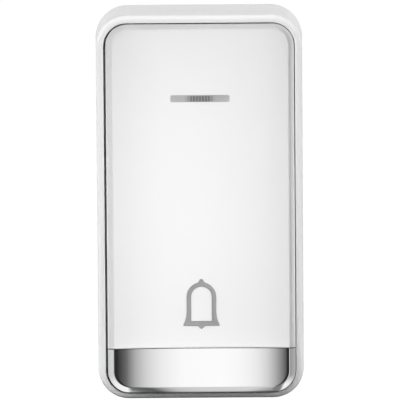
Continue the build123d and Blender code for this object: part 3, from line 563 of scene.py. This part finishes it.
def face_block(name, half, seam, end, back, front, sway, finish, stands_for):
    """Crowned, bevelled block with a flat seam end and a far end with round corners.

    A path runs from the seam up one side, round both corners and back down.  It is drawn in
    by each margin of the bevel profile, and the last one bounds a grid of rows across the
    face.  Depth is the front less the crown's sagitta and the profile's drop.  The seam end
    bows upwards by a parabola that fades with distance from the seam.
    """
    length, way = abs(end - seam), math.copysign(1.0, end - seam)
    straight = np.linspace(0, length - PANEL_CORNER, max(8, int(length / ROW_PITCH)))
    turn = np.linspace(0, math.pi / 2, CORNER_POINTS)[1:]
    across = np.linspace(-1, 1, COLUMNS)

    def rows(margin):
        radius = PANEL_CORNER - margin
        side = np.full(len(straight), half - margin)
        width = np.append(side, half - PANEL_CORNER + radius * np.cos(turn))
        rise = np.append(straight, length - PANEL_CORNER + radius * np.sin(turn))
        return width, rise

    def path(margin):
        width, rise = rows(margin)
        top = across[1:-1] * (half - PANEL_CORNER)
        x = np.concatenate([-width, top, width[::-1]])
        return x, np.concatenate([rise, np.full(len(top), length - margin), rise[::-1]])

    def placed(x, rise, depth):
        bow = SEAM_BOW * (1 - (x / half) ** 2) * np.exp(-rise / SEAM_FADE)
        return np.stack([x, -depth, seam + way * rise + bow], axis=-1)

    profile = bevel_profile()
    x, rise = path(0.0)
    rings = [placed(x, rise, np.full(len(x), back))]
    for margin, drop in profile:
        x, rise = path(margin)
        rings.append(placed(x, rise, front - crown_depth(x) - drop))
    width, rise = rows(profile[-1, 0])
    x = width[:, None] * across[None, :]
    core = placed(x, np.broadcast_to(rise[:, None], x.shape), front - crown_depth(x))
    left, right = [ring[0] for ring in rings], [ring[-1] for ring in rings[::-1]]
    skirt = np.concatenate([left, core[0, 1:-1], right])
    foot = skirt.copy()
    foot[:, 1] = -back
    ring_ids = np.arange(len(rings) * len(rings[0])).reshape(len(rings), len(rings[0]))
    core_ids = ring_ids.size + np.arange(core.shape[0] * core.shape[1]).reshape(core.shape[:2])
    skirt_ids = core_ids.max() + 1 + np.arange(2 * len(skirt)).reshape(2, -1)
    back_ids = [*ring_ids[0].tolist(), *skirt_ids[1, ::-1].tolist()[1:-1]]
    faces = [*np.vstack([quads(ids) for ids in (ring_ids, core_ids, skirt_ids)]).tolist(), back_ids]
    points = np.concatenate([np.concatenate(rings), core.reshape(-1, 3), skirt, foot])
    points = swung(points, -STROKE) + [sway, 0, 0]
    make_piece(name, points, faces, finish, "panel", stands_for, FACE_SHARP)


def add_seam_shade(finish, half, sway, level):
    """Painted shade: a dark line on a layer behind the panel stands in for the shade in the gap of the
    bowed seam, seen through that gap.

    It follows the seam's parabola: the bow times one less the square of the share across.
    """
    tree = finish.node_tree
    x, z = moved(tree, (sway * MM, level * MM))
    share = sums(tree, "DIVIDE", x, half * MM)
    fall = sums(tree, "SUBTRACT", 1.0, sums(tree, "MULTIPLY", share, share))
    bow = sums(tree, "MULTIPLY", fall, SEAM_BOW * MM)
    away = sums(tree, "ABSOLUTE", sums(tree, "SUBTRACT", z, bow))
    line = spread(tree, away, (SEAM_SHADE_HALF - SEAM_SHADE_SOFT) * MM, SEAM_SHADE_HALF * MM, 1.0, 0.0)
    # Painted shade along the seam
    paint_over(tree, line, SEAM_SHADE_COLOUR)


def add_face():
    """The clear face above the seam and the plated end below it."""
    low, high = pressed_box("clear_panel")
    trim_low, trim_high = pressed_box("chrome_trim")
    half, sway = (high[0] - low[0]) / 2, (high[0] + low[0]) / 2
    front = -trim_low[1]
    seam = (low[2] + trim_high[2]) / 2 - SEAM_BOW / 2
    back = -high[1] - BONDED
    for name, side, end, stands_for in (
        ("clear_face", 1, high[2], "clear_panel"),
        ("plated_end", -1, trim_low[2], "chrome_trim"),
    ):
        start = seam + side * SEAM_GAP / 2
        face_block(name, half, start, end, back, front, sway, FINISHES[stands_for], stands_for)
    level = swung(np.array([[0, -back, seam]]), -STROKE)[0, 2]
    # Both layers behind the seam get the painted seam shade
    for layer in ("backing_film", "panel_carrier"):
        add_seam_shade(FINISHES[layer], half, sway, level)


# ---- Bell emblem ------------------------------------------------------------------------

# Heights are measured up from the middle of the rays that draw the bell
DOME_Z, DOME_R, DOME_INNER = 1.46, 3.17, 2.19
MOUTH_Z, LIP_Z, WAIST_Z, MOUTH_HALF = -4.81, -4.5, -1.51, 3.87
HOLLOW_LOW = MOUTH_Z + 1.08
FLARE_POWER = 2.2
CROWN_Z = DOME_Z + DOME_R
# The knob stands on the crown and the clapper hangs from the mouth: each is a disc on a neck,
# and a neck has the height of its root and of its tip, its half width and its taper
KNOB_Z, KNOB_R = CROWN_Z + 0.28, 0.43
KNOB_NECK = (CROWN_Z - 0.28, CROWN_Z + 0.5, 0.83, 0.58)
CLAPPER_Z, CLAPPER_R = MOUTH_Z - 0.33, 0.3
CLAPPER_NECK = (MOUTH_Z, MOUTH_Z - 0.52, 0.81, 1.1)
# The bead's full height, the share of it at its sides, and the points across it
BEAD, BEAD_SHOULDER, BEAD_STEPS = 0.16, 0.35, 13
RAYS = 960


def in_disc(x, z, level, radius):
    """True inside a circle on the bell's middle line."""
    return x ** 2 + (z - level) ** 2 <= radius ** 2


def in_neck(x, z, root, tip, half, taper):
    """True inside a neck from root to tip whose half width falls evenly away from the root."""
    along = (z - root) * math.copysign(1.0, tip - root)
    return (along >= 0) & (along <= abs(tip - root)) & (np.abs(x) <= half - taper * along)


def in_bell(x, z):
    """True inside the bell's outer line: dome, straight sides, flare, knob and clapper.

    The flare widens by a power of the share of the way from the waist down to the lip.
    """
    flare = np.clip((WAIST_Z - z) / (WAIST_Z - LIP_Z), 0, 1) ** FLARE_POWER
    wide = np.abs(x) <= DOME_R + (MOUTH_HALF - DOME_R) * flare
    body = wide & (z <= DOME_Z) & (z >= MOUTH_Z)
    dome = in_disc(x, z, DOME_Z, DOME_R) & (z >= DOME_Z)
    knob = in_disc(x, z, KNOB_Z, KNOB_R) | in_neck(x, z, *KNOB_NECK)
    clapper = in_disc(x, z, CLAPPER_Z, CLAPPER_R) | in_neck(x, z, *CLAPPER_NECK)
    return body | dome | knob | clapper


def in_hollow(x, z):
    """True inside the bell's hollow: a half circle on a rectangle."""
    arch = in_disc(x, z, DOME_Z, DOME_INNER) & (z >= DOME_Z)
    return arch | ((np.abs(x) <= DOME_INNER) & (z <= DOME_Z) & (z >= HOLLOW_LOW))


def reach(inside, angle, furthest=8.0, steps=4000):
    """How far each ray from the middle goes before it leaves a shape for the last time."""
    far = np.linspace(0, furthest, steps)[None, :]
    held = inside(far * np.cos(angle)[:, None], far * np.sin(angle)[:, None])
    return far[0, steps - 1 - np.argmax(held[:, ::-1], axis=1)]


def add_emblem():
    """Raised bell emblem: a ring between two outlines whose front is domed like a bead.

    Each ray from the middle gives an outer and an inner point.  Between them the height goes
    from BEAD_SHOULDER of BEAD to all of it, by one less the fourth power of the distance from
    the middle of the stroke.
    """
    low, high = pressed_box("bell_icon")
    middle = np.array([(low[0] + high[0]) / 2, high[1], (low[2] + high[2]) / 2])
    middle[2] -= (KNOB_Z + KNOB_R + CLAPPER_Z - CLAPPER_R) / 2
    angle = np.linspace(0, 2 * math.pi, RAYS, endpoint=False)
    outer, inner = reach(in_bell, angle), reach(in_hollow, angle)
    step = np.concatenate([[0], np.linspace(0, 1, BEAD_STEPS), [1]])
    dome = 1 - np.abs(2 * step - 1) ** 4
    rise = BEAD * (BEAD_SHOULDER + (1 - BEAD_SHOULDER) * dome)
    rise[[0, -1]] = 0
    far = outer[None, :] * (1 - step[:, None]) + inner[None, :] * step[:, None]
    x, z = far * np.cos(angle), far * np.sin(angle)
    y = np.broadcast_to(-rise[:, None], x.shape)
    grid = np.stack([x, y, z], axis=-1) + middle
    ids = np.arange(x.size).reshape(x.shape)
    ids = np.hstack([ids, ids[:, :1]])
    ids = np.vstack([ids, ids[:1]])
    points = swung(grid.reshape(-1, 3), -STROKE)
    faces, foil = quads(ids).tolist(), FINISHES["bell_icon"]
    make_piece("bell_emblem", points, faces, foil, "panel", "bell_icon", EMBLEM_SHARP)


add_face()
add_emblem()

# ---- Studio -----------------------------------------------------------------------------

FLOOR_HALF = 4.0
FLOOR_TONE, FLOOR_GLOW = 0.03, 1.0
SKY_LIGHT = 0.05
REFLECTOR_R = 3.0
REFLECTOR_GLOW = 1.8

# The reflector's grey against the bearing from straight ahead in degrees, positive to the
# right, once for the height of the button and once for below it
LEVEL_RAMP = (
    (-180, 0.38), (-90, 0.54), (-62, 0.6), (-48, 0.45), (-38, 0.33), (-30, 0.2), (-24, 0.04),
    (-12.5, 0.02), (-12, 0.04), (-11.3, 0.11), (-10.1, 0.36), (-7.9, 0.64), (-5.7, 0.78),
    (-2.9, 0.88), (3, 0.9), (5.9, 0.86), (8.1, 0.78), (10.3, 0.54), (11.9, 0.2), (12.7, 0.06),
    (13.4, 0.02), (20, 0.03), (25, 0.4), (32, 0.75), (40, 0.75), (46, 0.55), (56, 0.12),
    (66, 0.3), (90, 0.54), (180, 0.38),
)
LOW_RAMP = (
    (-180, 0.06), (-110, 0.08), (-70, 0.8), (-28, 0.85), (-19, 0.42), (-16.5, 0.14),
    (-11.5, 0.08), (-9, 0.3), (-6, 0.5), (0, 0.58), (12, 0.6), (15, 0.42), (17.5, 0.28),
    (20, 0.18), (47, 0.2), (57, 0.85), (70, 0.8), (110, 0.08), (180, 0.06),
)
# Rises as shares of the radius: the low ramp fades in from the second to the first, the grey
# overhead from the first to the second, and the dark underfoot from the second to the first
LOW_FADE, HIGH_FADE, UNDER_FADE = (-0.72, -0.25), (0.3, 0.75), (-0.97, -0.91)
HIGH_GREY, UNDER_GREY = 0.42, 0.04


def grey(level):
    """A neutral colour."""
    return (level, level, level, 1.0)


def add_floor():
    """Plain pale floor under the button, lit from within for the camera as a light table is."""
    low = cad_box[0].z
    corners = [(x * FLOOR_HALF, y * FLOOR_HALF, low) for x, y in ((-1, -1), (1, -1), (1, 1), (-1, 1))]
    mesh = bpy.data.meshes.new("studio_floor")
    mesh.from_pydata(corners, [], [(0, 1, 2, 3)])
    floor = bpy.data.objects.new("studio_floor", mesh)
    bpy.context.scene.collection.objects.link(floor)
    material, tree, shader = blank("floor_paper")
    shader.inputs["Base Color"].default_value = grey(FLOOR_TONE)
    shader.inputs["Roughness"].default_value = 0.9
    shader.inputs["Specular IOR Level"].default_value = 0.0
    path = add(tree, "ShaderNodeLightPath")
    glow = add(tree, "ShaderNodeEmission", (("Strength", FLOOR_GLOW),))
    lit = add(tree, "ShaderNodeAddShader", ((0, shader.outputs[0]), (1, glow.outputs[0])))
    links = ((0, path.outputs["Is Camera Ray"]), (1, shader.outputs[0]), (2, lit.outputs[0]))
    seen = add(tree, "ShaderNodeMixShader", links)
    tree.links.new(seen.outputs[0], tree.nodes["Material Output"].inputs["Surface"])
    mesh.materials.append(material)
    floor.visible_glossy = floor.visible_transmission = False


def add_backdrop():
    """White surroundings that the camera sees whole, and that light the button only faintly."""
    world = bpy.data.worlds.new("studio_world")
    world.use_nodes = True
    sky = world.node_tree.nodes["Background"]
    path = add(world.node_tree, "ShaderNodeLightPath")
    strength = spread(world.node_tree, path.outputs["Is Camera Ray"], 0.0, 1.0, SKY_LIGHT, 1.0)
    sky.inputs["Color"].default_value = grey(1.0)
    world.node_tree.links.new(strength, sky.inputs["Strength"])
    bpy.context.scene.world = world


def bearing_ramp(tree, bearing, stops):
    """A grey that follows a bearing in radians, from -pi to pi, by a table of stops."""
    share = sums(tree, "MULTIPLY_ADD", bearing, 0.5 / math.pi, 0.5)
    ramp = add(tree, "ShaderNodeValToRGB", ((0, share),))
    band = ramp.color_ramp
    band.interpolation = "LINEAR"
    while len(band.elements) < len(stops):
        band.elements.new(0.5)
    for element, (at, level) in zip(band.elements, stops):
        element.position = (at + 180) / 360
        element.color = grey(level)
    return ramp.outputs["Color"]


def add_reflector():
    """Sphere that only reflections and refractions see: a pale card in front, dark beside it.

    Its glow depends on two angles worked out from Object coordinates: the bearing from
    straight ahead and the rise above the horizon.
    """
    mesh = bpy.data.meshes.new("reflector")
    work = bmesh.new()
    bmesh.ops.create_uvsphere(work, u_segments=96, v_segments=48, radius=REFLECTOR_R)
    work.to_mesh(mesh)
    work.free()
    mesh.shade_smooth()
    dome = bpy.data.objects.new("reflector", mesh)
    bpy.context.scene.collection.objects.link(dome)
    material = bpy.data.materials.new("reflector_glow")
    material.use_nodes = True
    tree = material.node_tree
    tree.nodes.remove(tree.nodes["Principled BSDF"])
    x, y, z = add(tree, "ShaderNodeSeparateXYZ", ((0, object_place(tree)),)).outputs
    bearing = sums(tree, "ARCTAN2", x, sums(tree, "MULTIPLY", y, -1.0))
    rise = sums(tree, "DIVIDE", z, REFLECTOR_R)
    level, low = (bearing_ramp(tree, bearing, stops) for stops in (LEVEL_RAMP, LOW_RAMP))
    shade = mixed(tree, spread(tree, rise, *LOW_FADE, 1.0, 0.0), level, low)
    shade = mixed(tree, spread(tree, rise, *HIGH_FADE, 0.0, 1.0), shade, grey(HIGH_GREY))
    shade = mixed(tree, spread(tree, rise, *UNDER_FADE, 1.0, 0.0), shade, grey(UNDER_GREY))
    glow = add(tree, "ShaderNodeEmission", (("Color", shade), ("Strength", REFLECTOR_GLOW)))
    tree.links.new(glow.outputs[0], tree.nodes["Material Output"].inputs["Surface"])
    mesh.materials.append(material)
    dome.visible_camera = dome.visible_diffuse = False
    dome.visible_shadow = dome.visible_volume_scatter = False


def add_light(name, place, aim, size, power):
    """A soft rectangular light that neither the camera nor a reflection shows."""
    data = bpy.data.lights.new(name, "AREA")
    data.shape = "RECTANGLE"
    data.size, data.size_y = size
    data.energy = power
    light = bpy.data.objects.new(name, data)
    bpy.context.scene.collection.objects.link(light)
    way = Vector(aim) - Vector(place)
    turn = way.to_track_quat("-Z", "Y").to_matrix().to_4x4()
    light.matrix_world = Matrix.Translation(place) @ turn
    light.visible_glossy = light.visible_camera = light.visible_transmission = False


FRONT = (0.0, -0.02, 0.0)

# Each light's name, place, the point it faces, its width and height, and its watts.  The
# strip stands close to the panel and brightens the face's middle.
LIGHTS = (
    ("top_softbox", (0.0, -0.1, 1.5), FRONT, (1.2, 1.2), 3.3),
    ("front_softbox", (-0.3, -1.4, 0.7), FRONT, (1.6, 0.8), 12.0),
    ("face_strip", (-0.005, -0.065, -0.025), (-0.005, 0.0, -0.025), (0.01, 0.12), 0.0098),
    ("left_softbox", (-1.3, -0.4, 0.5), FRONT, (1.0, 0.8), 14.0),
    ("right_softbox", (1.3, -0.4, 0.5), FRONT, (1.0, 0.8), 14.5),
    ("back_softbox", (0.3, 1.5, 0.35), FRONT, (1.4, 1.0), 13.0),
)

add_floor()
add_reflector()
for light in LIGHTS:
    add_light(*light)
add_backdrop()
bpy.context.scene.view_settings.view_transform = "Standard"
